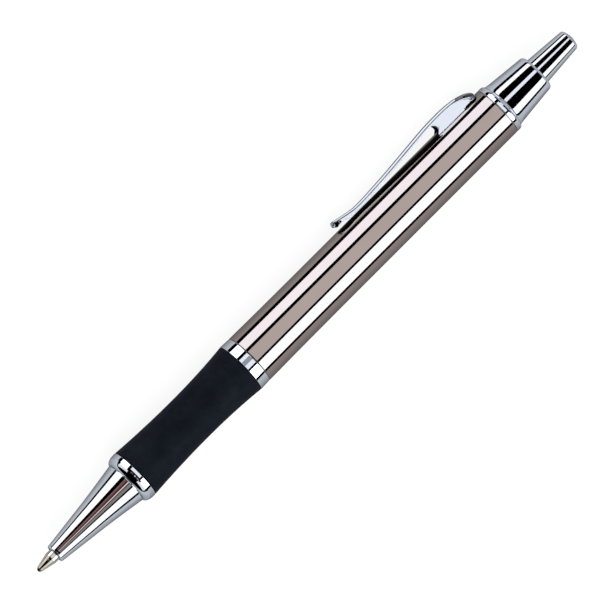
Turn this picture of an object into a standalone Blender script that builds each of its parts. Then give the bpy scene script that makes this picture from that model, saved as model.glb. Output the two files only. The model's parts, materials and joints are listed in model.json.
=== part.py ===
"""Retractable ballpoint pen with a rubber grip, a metal barrel and a pressed spring clip.

Every piece is drawn in the pen's own frame: x runs along the axis from the writing ball (x = 0) to the
push button, and z points from the axis towards the clip. The empty "pen_axis" then lays the pen down as it
rests on a table, on its centre ring and on the edge of its clip: the writing end towards +X, the clip
towards -Y, the table at z = 0. The tip is out and the button is latched. All sizes are in metres.
"""

import math

import bmesh
import bpy
from mathutils import Vector

# ---- Driving dimensions ------------------------------------------------------------------------------

PEN_LENGTH = 140.0e-3
AXIAL_GAP = 0.1e-3  # between the end faces of neighbouring pieces
RADIAL_GAP = 0.08e-3  # between a tube and what sits in it
OUTER_SIDES = 32  # facets round the casing's pieces
INNER_SIDES = 24  # facets round the pieces inside
CAM_SIDES = 48  # facets round the click mechanism, six for each of its eight teeth
CUT_MARGIN = 1.0e-3  # how far a cutting solid reaches past what it cuts

# Where each outer piece ends, along the axis
MOUTH_X = 4.34e-3
NOSE_END_X = 22.95e-3
COLLAR_END_X = 25.6e-3
GRIP_END_X = 52.9e-3
CENTRE_RING_END_X = 55.35e-3
BARREL_END_X = 120.4e-3
TOP_RING_END_X = 121.7e-3
CONE_END_X = 130.85e-3

# Writing ball and point of the refill
BALL_RADIUS = 0.5e-3
SOCKET_RADIUS = 0.53e-3
POINT_LIP_X = 0.45e-3
POINT_LIP_RADIUS = 0.565e-3
POINT_CONE_END_X = 3.27e-3
POINT_RADIUS = 1.225e-3
POINT_END_X = 8.0e-3
POINT_SHANK_RADIUS = 0.78e-3
POINT_SHANK_END_X = 11.0e-3
POINT_FEED_RADIUS = 0.2e-3

# Refill tube, its ink and its end plug
NECK_RADIUS = 1.62e-3
NECK_BORE_RADIUS = 0.86e-3
NECK_END_X = 25.6e-3
SHOULDER_LENGTH = 2.0e-3
REFILL_RADIUS = 2.92e-3
REFILL_BORE_RADIUS = 2.5e-3
REFILL_TUBE_END_X = 95.0e-3
REFILL_END_X = 98.2e-3
PLUG_INSERT_LENGTH = 3.0e-3
PLUG_VENT_RADIUS = 0.7e-3
PLUG_SLOT_WIDTH = 0.9e-3
PLUG_SLOT_DEPTH = 1.4e-3
INK_END_X = 78.0e-3

# Nose cone: radii outside, and the bores for the point, the refill's neck, the spring and the refill
NOSE_LIP_RADIUS = 1.9e-3
NOSE_LIP_EDGE = 0.16e-3
NOSE_FLARE_X = 15.3e-3
NOSE_FLARE_RADIUS = 3.2e-3
NOSE_END_RADIUS = 4.34e-3
MOUTH_BORE_RADIUS = 1.36e-3
MOUTH_BORE_END_X = 6.4e-3
NECK_CLEARANCE_RADIUS = 1.8e-3
SPRING_SEAT_X = 14.7e-3
SPRING_BORE_RADIUS = 2.5e-3
NOSE_MAIN_BORE_X = 22.0e-3
NOSE_MAIN_BORE_RADIUS = 3.12e-3
NOSE_TENON_RADIUS = 3.6e-3
NOSE_TENON_END_X = 31.0e-3

# Return spring
SPRING_MEAN_RADIUS = 2.09e-3
SPRING_WIRE_RADIUS = 0.19e-3
SPRING_TURNS = 8
SPRING_POINTS_PER_TURN = 12

# Front collar, grip sleeve and the tube under it
COLLAR_RADIUS = 5.28e-3
COLLAR_FRONT_RADIUS = 4.42e-3
GRIP_FRONT_RADIUS = 5.26e-3
GRIP_WAIST_RADIUS = 4.74e-3
GRIP_WAIST_X = 39.4e-3
GRIP_REAR_RADIUS = 5.37e-3
LOWER_BARREL_BORE_RADIUS = 3.69e-3
LOWER_BARREL_RADIUS = 4.05e-3
THREAD_LENGTH = 5.5e-3  # of the tube's rear end, past the centre ring

# Centre ring, upper barrel and its threaded insert
CENTRE_RING_RADIUS = 5.41e-3
CENTRE_RING_EDGE = 0.06e-3
BARREL_FRONT_RADIUS = 5.33e-3
BARREL_RADIUS = 5.22e-3
BARREL_TAPER_END_X = 74.0e-3
BARREL_BORE_RADIUS = 4.73e-3
INSERT_LENGTH = 8.5e-3
INSERT_BORE_RADIUS = 4.16e-3
INSERT_EDGE = 0.1e-3

# Top ring and upper cone
TOP_RING_RADIUS = 5.235e-3
TOP_RING_EDGE = 0.1e-3
CONE_FRONT_RADIUS = 4.77e-3
CONE_REAR_RADIUS = 3.88e-3
CONE_RIM_RADIUS = 0.62e-3
CONE_SKIRT_START_X = 113.5e-3
CONE_SKIRT_RADIUS = 4.64e-3
CONE_SKIRT_BORE_RADIUS = 4.0e-3
CONE_SKIRT_BORE_END_X = 122.3e-3
CONE_BORE_RADIUS = 3.42e-3
CONE_LIP_LENGTH = 0.75e-3
CONE_MOUTH_RADIUS = 2.88e-3

# Push button
BUTTON_RADIUS = 2.79e-3
BUTTON_EDGE = (  # distance before the flat end, and radius
    (1.1e-3, 2.17e-3),
    (0.45e-3, 1.89e-3),
    (0.1e-3, 1.55e-3),
    (0.0, 1.3e-3),
)
BUTTON_FLANGE_START_X = 123.4e-3
BUTTON_FLANGE_LENGTH = 1.1e-3
BUTTON_FLANGE_RADIUS = 3.3e-3
BUTTON_BORE_RADIUS = 1.95e-3
BUTTON_BORE_END_X = 137.2e-3

# Click mechanism: housing, plunger and rotor
HOUSING_START_X = 97.0e-3
HOUSING_END_X = 121.3e-3
HOUSING_RADIUS = 3.92e-3
HOUSING_BORE_RADIUS = 3.42e-3
RIB_START_X = 104.4e-3
RIB_RADIUS = 2.74e-3
CAM_BODY_RADIUS = 2.62e-3
CAM_TOOTH_HEIGHT = 0.6e-3
CAM_TEETH = 8
GUIDE_COUNT = 4
GROOVE_WIDTH = 2.3e-3
FIN_WIDTH = 1.9e-3
FIN_TOP = 3.13e-3
FIN_ROOT = 2.3e-3
ROTOR_FIN_START = 1.2e-3  # behind the rotor's front face
ROTOR_FIN_END = 0.5e-3  # before the rotor's teeth
ROTOR_FIN_SLOPE = 0.8e-3
PLUNGER_FIN_START = 0.6e-3  # behind the plunger's teeth
PLUNGER_FIN_LENGTH = 3.6e-3
ROTOR_TOOTH_X = 103.3e-3
ROTOR_PIN_RADIUS = 1.2e-3
ROTOR_PIN_END_X = 108.0e-3
PLUNGER_TOOTH_X = 104.8e-3
PLUNGER_BORE_RADIUS = 1.4e-3
PLUNGER_BORE_END_X = 112.0e-3
PLUNGER_STEM_RADIUS = 1.87e-3

# Clip: its outer line over the barrel, its sheet, and the foot that holds it in the barrel's slot
CLIP_SHEET = 0.45e-3
CLIP_ROOT_WIDTH = 4.8e-3
CLIP_TIP_WIDTH = 3.8e-3
CLIP_TIP_X = 83.4e-3
CLIP_TIP_LIP_RADIUS = 0.62e-3
CLIP_TIP_LIP_Z = 6.54e-3
CLIP_TOP_LINE = (  # x, z of the outer face, from behind the tip's lip to the start of the end bend
    (86.9e-3, 6.53e-3),
    (89.7e-3, 6.21e-3),
    (96.2e-3, 6.5e-3),
    (103.7e-3, 7.12e-3),
    (108.6e-3, 7.52e-3),
)
CLIP_BEND_CENTRE = (112.0e-3, 5.6e-3)
CLIP_BEND_RADII = (7.35e-3, 2.0e-3)
CLIP_EDGE_DEPTHS = ((84.0e-3, 1.25e-3), (87.6e-3, 1.2e-3), (93.0e-3, 0.62e-3), (110.0e-3, 0.5e-3))
CLIP_WALL_START_X = 109.6e-3
CLIP_NOTCH_RADIUS = 1.12e-3
CLIP_NOTCH_Z = 6.02e-3
CLIP_TONGUE_WIDTH = 2.6e-3
CLIP_FOOT_LENGTH = 1.35e-3
CLIP_FOOT_BOTTOM_Z = 4.08e-3
CLIP_FOOT_HEIGHT = 0.3e-3
CLIP_PIVOT_X = 119.1e-3
CLIP_PIVOT_Z = 5.0e-3
SLOT_GAP = 0.15e-3

# How the pen lies: the ring's radius is its height, and the clip's outer edge just reaches the table
CLIP_CREST_Z = CLIP_BEND_CENTRE[1] + CLIP_BEND_RADII[1]
CLIP_CORNER_RADIUS = math.hypot(CLIP_CREST_Z, CLIP_ROOT_WIDTH / 2) - 0.12e-3
CLIP_CORNER_ANGLE = math.atan2(CLIP_ROOT_WIDTH / 2, CLIP_CREST_Z)
CLIP_DIP = math.asin(CENTRE_RING_RADIUS / CLIP_CORNER_RADIUS) - CLIP_CORNER_ANGLE
CLIP_REACH = CLIP_CORNER_RADIUS * math.cos(CLIP_DIP - CLIP_CORNER_ANGLE)

FINISHES = {  # base colour, metallic, roughness
    "chrome": ((0.80, 0.82, 0.85), 1.0, 0.06),
    "barrel_metal": ((0.42, 0.36, 0.33), 1.0, 0.10),
    "rubber": ((0.020, 0.026, 0.034), 0.0, 0.65),
    "nickel_silver": ((0.70, 0.65, 0.56), 1.0, 0.18),
    "carbide": ((0.10, 0.10, 0.11), 1.0, 0.12),
    "brass": ((0.72, 0.55, 0.28), 1.0, 0.28),
    "steel": ((0.60, 0.61, 0.62), 1.0, 0.25),
    "white_plastic": ((0.78, 0.78, 0.76), 0.0, 0.40),
    "grey_plastic": ((0.22, 0.23, 0.25), 0.0, 0.42),
    "ink": ((0.010, 0.012, 0.030), 0.0, 0.30),
}


# ---- Building helpers --------------------------------------------------------------------------------


def clear_scene():
    for obj in list(bpy.data.objects):
        bpy.data.objects.remove(obj, do_unlink=True)


def make_empty(name, parent=None, location=(0, 0, 0), rotation=(0, 0, 0)):
    empty = bpy.data.objects.new(name, None)
    empty.empty_display_size = 0.01
    empty.parent = parent
    empty.location = location
    empty.rotation_euler = rotation
    bpy.context.collection.objects.link(empty)
    return empty


def make_object(name, bm, origin=(0, 0, 0)):
    """Turn a bmesh drawn in the pen's frame into an object whose own origin is the given point."""
    bmesh.ops.remove_doubles(bm, verts=bm.verts, dist=1e-8)
    bmesh.ops.recalc_face_normals(bm, faces=bm.faces)
    bmesh.ops.translate(bm, verts=bm.verts, vec=-Vector(origin))
    mesh = bpy.data.meshes.new(name)
    bm.to_mesh(mesh)
    bm.free()
    obj = bpy.data.objects.new(name, mesh)
    obj.location = origin
    bpy.context.collection.objects.link(obj)
    return obj


def finish(obj, finish_name, parent):
    """Give a piece its own material and its parent, and shade its round faces smooth."""
    colour, metallic, roughness = FINISHES[finish_name]
    material = bpy.data.materials.new(obj.name + "_" + finish_name)
    material.use_nodes = True
    shader = material.node_tree.nodes["Principled BSDF"]
    shader.inputs["Base Color"].default_value = (*colour, 1.0)
    shader.inputs["Metallic"].default_value = metallic
    shader.inputs["Roughness"].default_value = roughness
    obj.data.materials.append(material)
    obj.parent = parent
    if obj.type == "MESH":
        obj.data.shade_smooth()
        obj.data.set_sharp_from_angle(angle=math.radians(35))
    return obj


def turned_mesh(profile, sides, closed):
    """Spin (x, radius) points round the pen's axis. A closed profile makes a ring or a tube; an open one
    starts and ends on the axis."""
    bm = bmesh.new()
    verts = [bm.verts.new((x, 0, radius)) for x, radius in profile]
    edges = [bm.edges.new(pair) for pair in zip(verts, verts[1:])]
    if closed:
        edges.append(bm.edges.new((verts[-1], verts[0])))
    bmesh.ops.spin(
        bm,
        geom=verts + edges,
        cent=(0, 0, 0),
        axis=(1, 0, 0),
        angle=2 * math.pi,
        steps=sides,
        use_merge=True,
        use_duplicate=False,
    )
    bmesh.ops.remove_doubles(bm, verts=bm.verts, dist=1e-7)
    return bm


def turned(name, profile, sides=OUTER_SIDES, closed=True):
    return make_object(name, turned_mesh(profile, sides, closed))


def arc(centre_x, centre_r, radius, start, end, steps):
    """Points along an arc in the (x, radius) plane, its angles in degrees from +x towards +radius."""
    angles = [math.radians(start + (end - start) * i / steps) for i in range(steps + 1)]
    return [(centre_x + radius * math.cos(a), centre_r + radius * math.sin(a)) for a in angles]


def box_mesh(low, high):
    bm = bmesh.new()
    bmesh.ops.create_cube(bm, size=1.0)
    size = Vector(high) - Vector(low)
    bmesh.ops.scale(bm, verts=bm.verts, vec=size)
    bmesh.ops.translate(bm, verts=bm.verts, vec=Vector(low) + size / 2)
    return bm


def apply_boolean(obj, cutter_mesh, operation):
    """Join a helper solid to a piece, or cut it away, and remove the helper."""
    helper = make_object(obj.name + "_helper", cutter_mesh)
    helper.location = (0, 0, 0)
    modifier = obj.modifiers.new(operation.title(), "BOOLEAN")
    modifier.operation = operation
    modifier.solver = "EXACT"
    modifier.object = helper
    graph = bpy.context.evaluated_depsgraph_get()
    result = bpy.data.meshes.new_from_object(obj.evaluated_get(graph))
    obj.modifiers.clear()
    obj.data = result
    bpy.data.objects.remove(helper, do_unlink=True)


def cut(obj, cutter_mesh):
    apply_boolean(obj, cutter_mesh, "DIFFERENCE")


def join(obj, addition_mesh):
    apply_boolean(obj, addition_mesh, "UNION")


def rotated(bm, angle):
    """Turn a helper solid about the pen's axis."""
    spin = math.cos(angle), math.sin(angle)
    for vert in bm.verts:
        y, z = vert.co.y, vert.co.z
        vert.co.y = y * spin[0] - z * spin[1]
        vert.co.z = y * spin[1] + z * spin[0]
    return bm


def around_axis(count):
    return [2 * math.pi * i / count for i in range(count)]


def raise_teeth(bm, ring_x, height):
    """Turn the flat ring of points at ring_x into a crown of even teeth that rise by height along x."""
    for vert in bm.verts:
        if abs(vert.co.x - ring_x) < 1e-7:
            turn = math.atan2(vert.co.y, vert.co.z) / (2 * math.pi) * CAM_TEETH
            vert.co.x += height * abs(2 * (turn % 1.0) - 1)
    return bm


def smooth_line(points, steps):
    """A Catmull-Rom curve through the points, with the given number of steps between each two."""
    ends = [2 * Vector(points[0]) - Vector(points[1])], [2 * Vector(points[-1]) - Vector(points[-2])]
    knots = ends[0] + [Vector(p) for p in points] + ends[1]
    line = []
    for p0, p1, p2, p3 in zip(knots, knots[1:], knots[2:], knots[3:]):
        for i in range(steps):
            t = i / steps
            line.append(
                0.5 * (2 * p1 + (p2 - p0) * t + (2 * p0 - 5 * p1 + 4 * p2 - p3) * t**2
                       + (3 * p1 - p0 - 3 * p2 + p3) * t**3)
            )
    return line + [knots[-2]]


# ---- Refill ------------------------------------------------------------------------------------------


def make_tip_ball(parent):
    bm = bmesh.new()
    bmesh.ops.create_uvsphere(bm, u_segments=16, v_segments=8, radius=BALL_RADIUS)
    bmesh.ops.translate(bm, verts=bm.verts, vec=(BALL_RADIUS, 0, 0))
    return finish(make_object("tip_ball", bm, (BALL_RADIUS, 0, 0)), "carbide", parent)


def make_refill_tip(parent):
    lip_angle = math.degrees(math.acos((POINT_LIP_X - BALL_RADIUS) / SOCKET_RADIUS))
    socket = arc(BALL_RADIUS, 0, SOCKET_RADIUS, lip_angle, 25, 4)
    profile = [
        (POINT_LIP_X, POINT_LIP_RADIUS),
        (POINT_CONE_END_X, POINT_RADIUS),
        (POINT_END_X - AXIAL_GAP, POINT_RADIUS),
        (POINT_END_X - AXIAL_GAP, POINT_SHANK_RADIUS),
        (POINT_SHANK_END_X, POINT_SHANK_RADIUS),
        (POINT_SHANK_END_X, POINT_FEED_RADIUS),
        (socket[-1][0], POINT_FEED_RADIUS),
    ]
    return finish(turned("refill_tip", profile + socket[::-1], INNER_SIDES), "nickel_silver", parent)


def make_refill_tube(parent):
    body_x = NECK_END_X + SHOULDER_LENGTH
    profile = [
        (POINT_END_X, NECK_BORE_RADIUS),
        (POINT_END_X, NECK_RADIUS),
        (NECK_END_X, NECK_RADIUS),
        (body_x, REFILL_RADIUS),
        (REFILL_TUBE_END_X, REFILL_RADIUS),
        (REFILL_TUBE_END_X, REFILL_BORE_RADIUS),
        (body_x + SHOULDER_LENGTH / 4, REFILL_BORE_RADIUS),
        (NECK_END_X + SHOULDER_LENGTH / 4, NECK_BORE_RADIUS),
    ]
    return finish(turned("refill_tube", profile, INNER_SIDES), "steel", parent)


def make_ink_column(parent):
    start = POINT_SHANK_END_X + AXIAL_GAP
    neck_ink = NECK_BORE_RADIUS - RADIAL_GAP
    body_ink = REFILL_BORE_RADIUS - RADIAL_GAP
    cone_start = NECK_END_X + SHOULDER_LENGTH / 2
    cone_end = NECK_END_X + SHOULDER_LENGTH * 1.4
    profile = [
        (start, 0),
        (start, neck_ink),
        (cone_start, neck_ink),
        (cone_end, body_ink),
        (INK_END_X, body_ink),
        (INK_END_X, 0),
    ]
    return finish(turned("ink_column", profile, INNER_SIDES, closed=False), "ink", parent)


def make_refill_end_plug(parent):
    insert_radius = REFILL_BORE_RADIUS - RADIAL_GAP
    profile = [
        (REFILL_TUBE_END_X - PLUG_INSERT_LENGTH, PLUG_VENT_RADIUS),
        (REFILL_TUBE_END_X - PLUG_INSERT_LENGTH, insert_radius),
        (REFILL_TUBE_END_X + AXIAL_GAP, insert_radius),
        (REFILL_TUBE_END_X + AXIAL_GAP, REFILL_RADIUS),
        (REFILL_END_X, REFILL_RADIUS),
        (REFILL_END_X, PLUG_VENT_RADIUS),
    ]
    plug = turned("refill_end_plug", profile, INNER_SIDES)
    reach = REFILL_RADIUS * 1.2
    half = PLUG_SLOT_WIDTH / 2
    slot_x = REFILL_END_X - PLUG_SLOT_DEPTH
    for angle in around_axis(4):
        slot = box_mesh((slot_x, -half, PLUG_VENT_RADIUS / 2), (REFILL_END_X + CUT_MARGIN, half, reach))
        cut(plug, rotated(slot, angle))
    return finish(plug, "grey_plastic", parent)


def make_return_spring(parent):
    """Steel wire wound between the nose cone's seat and the refill's shoulder."""
    start_x = SPRING_SEAT_X + SPRING_WIRE_RADIUS + AXIAL_GAP / 2
    end_x = NECK_END_X - SPRING_WIRE_RADIUS
    count = SPRING_TURNS * SPRING_POINTS_PER_TURN
    curve = bpy.data.curves.new("return_spring", "CURVE")
    curve.dimensions = "3D"
    curve.bevel_depth = SPRING_WIRE_RADIUS
    curve.bevel_resolution = 1
    curve.use_fill_caps = True
    spline = curve.splines.new("POLY")
    spline.points.add(count)
    for i, point in enumerate(spline.points):
        share = i / count
        angle = 2 * math.pi * SPRING_TURNS * share
        y = SPRING_MEAN_RADIUS * math.cos(angle)
        z = SPRING_MEAN_RADIUS * math.sin(angle)
        point.co = (start_x + (end_x - start_x) * share, y, z, 1)
    spring = bpy.data.objects.new("return_spring", curve)
    bpy.context.collection.objects.link(spring)
    return finish(spring, "steel", parent)


# ---- Front section -----------------------------------------------------------------------------------


def make_nose_cone(parent):
    profile = [
        (MOUTH_X, MOUTH_BORE_RADIUS),
        (MOUTH_X, NOSE_LIP_RADIUS - NOSE_LIP_EDGE),
        (MOUTH_X + NOSE_LIP_EDGE, NOSE_LIP_RADIUS - NOSE_LIP_EDGE / 4),
        (MOUTH_X + 4 * NOSE_LIP_EDGE, NOSE_LIP_RADIUS + NOSE_LIP_EDGE / 3),
        (NOSE_FLARE_X, NOSE_FLARE_RADIUS),
        (NOSE_END_X, NOSE_END_RADIUS),
        (NOSE_END_X, NOSE_TENON_RADIUS),
        (NOSE_TENON_END_X, NOSE_TENON_RADIUS),
        (NOSE_TENON_END_X, NOSE_MAIN_BORE_RADIUS),
        (NOSE_MAIN_BORE_X, NOSE_MAIN_BORE_RADIUS),
        (NOSE_MAIN_BORE_X, SPRING_BORE_RADIUS),
        (SPRING_SEAT_X, SPRING_BORE_RADIUS),
        (SPRING_SEAT_X, NECK_CLEARANCE_RADIUS),
        (MOUTH_BORE_END_X, NECK_CLEARANCE_RADIUS),
        (MOUTH_BORE_END_X, MOUTH_BORE_RADIUS),
    ]
    return finish(turned("nose_cone", profile), "chrome", parent)


def make_front_collar(parent):
    """The bead between the nose cone and the grip, with a rounded front shoulder."""
    start = NOSE_END_X + AXIAL_GAP
    bore = NOSE_TENON_RADIUS + RADIAL_GAP
    shoulder = COLLAR_RADIUS - COLLAR_FRONT_RADIUS
    width = COLLAR_END_X - start
    outer = [(start + width * 0.8 * (1 - math.cos(a)), COLLAR_FRONT_RADIUS + shoulder * math.sin(a))
             for a in (math.radians(15 * i) for i in range(7))]
    profile = [(start, bore)] + outer + [(COLLAR_END_X, COLLAR_RADIUS), (COLLAR_END_X, bore)]
    return finish(turned("front_collar", profile), "chrome", parent)


def grip_radius(x, start, end):
    """The sleeve's waist: a parabola falling to the waist from each end."""
    if x < GRIP_WAIST_X:
        share = (GRIP_WAIST_X - x) / (GRIP_WAIST_X - start)
        return GRIP_WAIST_RADIUS + (GRIP_FRONT_RADIUS - GRIP_WAIST_RADIUS) * share**1.9
    share = (x - GRIP_WAIST_X) / (end - GRIP_WAIST_X)
    return GRIP_WAIST_RADIUS + (GRIP_REAR_RADIUS - GRIP_WAIST_RADIUS) * share**2.2


def make_grip_sleeve(parent):
    start = COLLAR_END_X + AXIAL_GAP
    end = GRIP_END_X
    bore = LOWER_BARREL_RADIUS + RADIAL_GAP
    steps = 10
    stations = [start + (end - start) * i / steps for i in range(steps + 1)]
    profile = [(start, bore)] + [(x, grip_radius(x, start, end)) for x in stations] + [(end, bore)]
    return finish(turned("grip_sleeve", profile), "rubber", parent)


def make_lower_barrel(parent):
    """The tube under the grip. Its rear end is the male thread at the centre ring."""
    start = COLLAR_END_X + AXIAL_GAP
    end = CENTRE_RING_END_X + AXIAL_GAP + THREAD_LENGTH
    profile = [
        (start, LOWER_BARREL_BORE_RADIUS),
        (start, LOWER_BARREL_RADIUS),
        (end, LOWER_BARREL_RADIUS),
        (end, LOWER_BARREL_BORE_RADIUS),
    ]
    return finish(turned("lower_barrel", profile), "brass", parent)


def ring_profile(start, end, bore, radius, edge):
    return [
        (start, bore),
        (start, radius - edge),
        (start + edge, radius),
        (end - edge, radius),
        (end, radius - edge),
        (end, bore),
    ]


def make_centre_ring(parent):
    start = GRIP_END_X + AXIAL_GAP
    bore = LOWER_BARREL_RADIUS + RADIAL_GAP
    profile = ring_profile(start, CENTRE_RING_END_X, bore, CENTRE_RING_RADIUS, CENTRE_RING_EDGE)
    return finish(turned("centre_ring", profile), "chrome", parent)


# ---- Upper section -----------------------------------------------------------------------------------


def make_upper_barrel(parent):
    start = CENTRE_RING_END_X + AXIAL_GAP
    profile = [
        (start, BARREL_BORE_RADIUS),
        (start, BARREL_FRONT_RADIUS),
        ((start + BARREL_TAPER_END_X) / 2, BARREL_RADIUS + (BARREL_FRONT_RADIUS - BARREL_RADIUS) / 4),
        (BARREL_TAPER_END_X, BARREL_RADIUS),
        (BARREL_END_X, BARREL_RADIUS),
        (BARREL_END_X, BARREL_BORE_RADIUS),
    ]
    barrel = turned("upper_barrel", profile)
    half = CLIP_TONGUE_WIDTH / 2 + SLOT_GAP
    slot_end = CLIP_BEND_CENTRE[0] + CLIP_BEND_RADII[0] + SLOT_GAP
    slot_start = slot_end - CLIP_SHEET - 2 * SLOT_GAP
    cut(barrel, box_mesh((slot_start, -half, BARREL_RADIUS / 2), (slot_end, half, BARREL_RADIUS * 2)))
    return finish(barrel, "barrel_metal", parent)


def make_threaded_insert(parent):
    start = CENTRE_RING_END_X + AXIAL_GAP
    radius = BARREL_BORE_RADIUS - RADIAL_GAP
    profile = ring_profile(start, start + INSERT_LENGTH, INSERT_BORE_RADIUS, radius, INSERT_EDGE)
    return finish(turned("threaded_insert", profile), "brass", parent)


def make_top_ring(parent):
    start = BARREL_END_X + AXIAL_GAP
    bore = CONE_SKIRT_RADIUS + RADIAL_GAP
    profile = ring_profile(start, TOP_RING_END_X, bore, TOP_RING_RADIUS, TOP_RING_EDGE)
    return finish(turned("top_ring", profile), "chrome", parent)


def make_upper_cone(parent):
    shoulder_x = TOP_RING_END_X + AXIAL_GAP
    lip_x = CONE_END_X - CONE_LIP_LENGTH
    profile = [
        (CONE_SKIRT_START_X, CONE_SKIRT_BORE_RADIUS),
        (CONE_SKIRT_START_X, CONE_SKIRT_RADIUS),
        (shoulder_x, CONE_SKIRT_RADIUS),
        (shoulder_x, CONE_FRONT_RADIUS),
        *arc(CONE_END_X - CONE_RIM_RADIUS, CONE_REAR_RADIUS - CONE_RIM_RADIUS, CONE_RIM_RADIUS, 80, 0, 3),
        (CONE_END_X, CONE_MOUTH_RADIUS),
        (lip_x, CONE_MOUTH_RADIUS),
        (lip_x, CONE_BORE_RADIUS),
        (CONE_SKIRT_BORE_END_X, CONE_BORE_RADIUS),
        (CONE_SKIRT_BORE_END_X, CONE_SKIRT_BORE_RADIUS),
    ]
    cone = turned("upper_cone", profile)
    half = CLIP_TONGUE_WIDTH / 2 + 2 * SLOT_GAP
    notch_end = CLIP_BEND_CENTRE[0] + CLIP_BEND_RADII[0] + 3 * SLOT_GAP
    notch = box_mesh((CONE_SKIRT_START_X - CUT_MARGIN, -half, CONE_SKIRT_BORE_RADIUS / 2),
                     (notch_end, half, CONE_SKIRT_RADIUS * 1.3))
    cut(cone, notch)
    return finish(cone, "chrome", parent)


def make_mechanism_housing(parent):
    """A sleeve with guide ribs inside. The rotor's fins slide between the ribs, or latch on their ends."""
    profile = [
        (HOUSING_START_X, HOUSING_BORE_RADIUS),
        (HOUSING_START_X, HOUSING_RADIUS),
        (HOUSING_END_X, HOUSING_RADIUS),
        (HOUSING_END_X, RIB_RADIUS),
        (RIB_START_X, RIB_RADIUS),
        (RIB_START_X, HOUSING_BORE_RADIUS),
    ]
    bm = turned_mesh(profile, CAM_SIDES, closed=True)
    housing = make_object("mechanism_housing", raise_teeth(bm, RIB_START_X, CAM_TOOTH_HEIGHT))
    half = GROOVE_WIDTH / 2
    for angle in around_axis(GUIDE_COUNT):
        groove = box_mesh((RIB_START_X - CUT_MARGIN / 2, -half, RIB_RADIUS / 2),
                          (HOUSING_END_X + CUT_MARGIN, half, HOUSING_BORE_RADIUS))
        cut(housing, rotated(groove, angle))
    return finish(housing, "white_plastic", parent)


# ---- Click mechanism ---------------------------------------------------------------------------------


def add_fins(obj, front_x, rear_x, slope):
    """Guide fins on a cam. Their rear ends slope, so that each press can turn the piece on."""
    half = FIN_WIDTH / 2
    for angle in around_axis(GUIDE_COUNT):
        fin = box_mesh((front_x, -half, FIN_ROOT), (rear_x, half, FIN_TOP))
        for vert in fin.verts:
            if vert.co.x > (front_x + rear_x) / 2 and vert.co.y > 0:
                vert.co.x += slope
        join(obj, rotated(fin, angle))


def make_cam_rotor(parent):
    front_x = REFILL_END_X + AXIAL_GAP
    profile = [
        (front_x, 0),
        (front_x, CAM_BODY_RADIUS),
        (ROTOR_TOOTH_X, CAM_BODY_RADIUS),
        (ROTOR_TOOTH_X, ROTOR_PIN_RADIUS),
        (ROTOR_PIN_END_X, ROTOR_PIN_RADIUS),
        (ROTOR_PIN_END_X, 0),
    ]
    bm = turned_mesh(profile, CAM_SIDES, closed=False)
    rotor = make_object("cam_rotor", raise_teeth(bm, ROTOR_TOOTH_X, CAM_TOOTH_HEIGHT))
    add_fins(rotor, front_x + ROTOR_FIN_START, ROTOR_TOOTH_X - ROTOR_FIN_END, ROTOR_FIN_SLOPE)
    return finish(rotor, "white_plastic", parent)


def make_cam_plunger(parent):
    stem_x = BUTTON_FLANGE_START_X - AXIAL_GAP
    stem_end = BUTTON_BORE_END_X - 3 * AXIAL_GAP
    profile = [
        (PLUNGER_BORE_END_X, 0),
        (PLUNGER_BORE_END_X, PLUNGER_BORE_RADIUS),
        (PLUNGER_TOOTH_X, PLUNGER_BORE_RADIUS),
        (PLUNGER_TOOTH_X, CAM_BODY_RADIUS),
        (stem_x, CAM_BODY_RADIUS),
        (stem_x, PLUNGER_STEM_RADIUS),
        (stem_end, PLUNGER_STEM_RADIUS),
        (stem_end, 0),
    ]
    bm = turned_mesh(profile, CAM_SIDES, closed=False)
    plunger = make_object("cam_plunger", raise_teeth(bm, PLUNGER_TOOTH_X, -CAM_TOOTH_HEIGHT))
    fin_start = PLUNGER_TOOTH_X + PLUNGER_FIN_START
    add_fins(plunger, fin_start, fin_start + PLUNGER_FIN_LENGTH, 0.0)
    return finish(plunger, "grey_plastic", parent)


def make_push_button(parent):
    flange_end = BUTTON_FLANGE_START_X + BUTTON_FLANGE_LENGTH
    profile = [
        (BUTTON_FLANGE_START_X, BUTTON_BORE_RADIUS),
        (BUTTON_FLANGE_START_X, BUTTON_FLANGE_RADIUS),
        (flange_end, BUTTON_FLANGE_RADIUS),
        (flange_end, BUTTON_RADIUS),
        (CONE_END_X, BUTTON_RADIUS),
        *((PEN_LENGTH - before_end, radius) for before_end, radius in BUTTON_EDGE),
        (PEN_LENGTH, 0),
    ]
    bore = [(BUTTON_BORE_END_X, 0), (BUTTON_BORE_END_X, BUTTON_BORE_RADIUS)]
    return finish(turned("push_button", bore + profile, closed=False), "chrome", parent)


# ---- Clip --------------------------------------------------------------------------------------------


def clip_top_line():
    """The clip's outer face from behind the tip's lip, over the crest and down to the barrel."""
    bend = []
    for degrees in range(90, -1, -15):
        angle = math.radians(degrees)
        bend.append((CLIP_BEND_CENTRE[0] + CLIP_BEND_RADII[0] * math.cos(angle),
                     CLIP_BEND_CENTRE[1] + CLIP_BEND_RADII[1] * math.sin(angle)))
    rise = smooth_line(list(CLIP_TOP_LINE) + [bend[0]], 3)
    return [(p[0], p[1]) for p in rise[:-1]] + bend


def clip_edge_depth(x):
    """How far the folded edges reach below the outer face."""
    stations = CLIP_EDGE_DEPTHS
    for (x0, d0), (x1, d1) in zip(stations, stations[1:]):
        if x <= x1:
            share = max(0.0, (x - x0) / (x1 - x0))
            return d0 + (d1 - d0) * share * share * (3 - 2 * share)
    return stations[-1][1]


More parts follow.
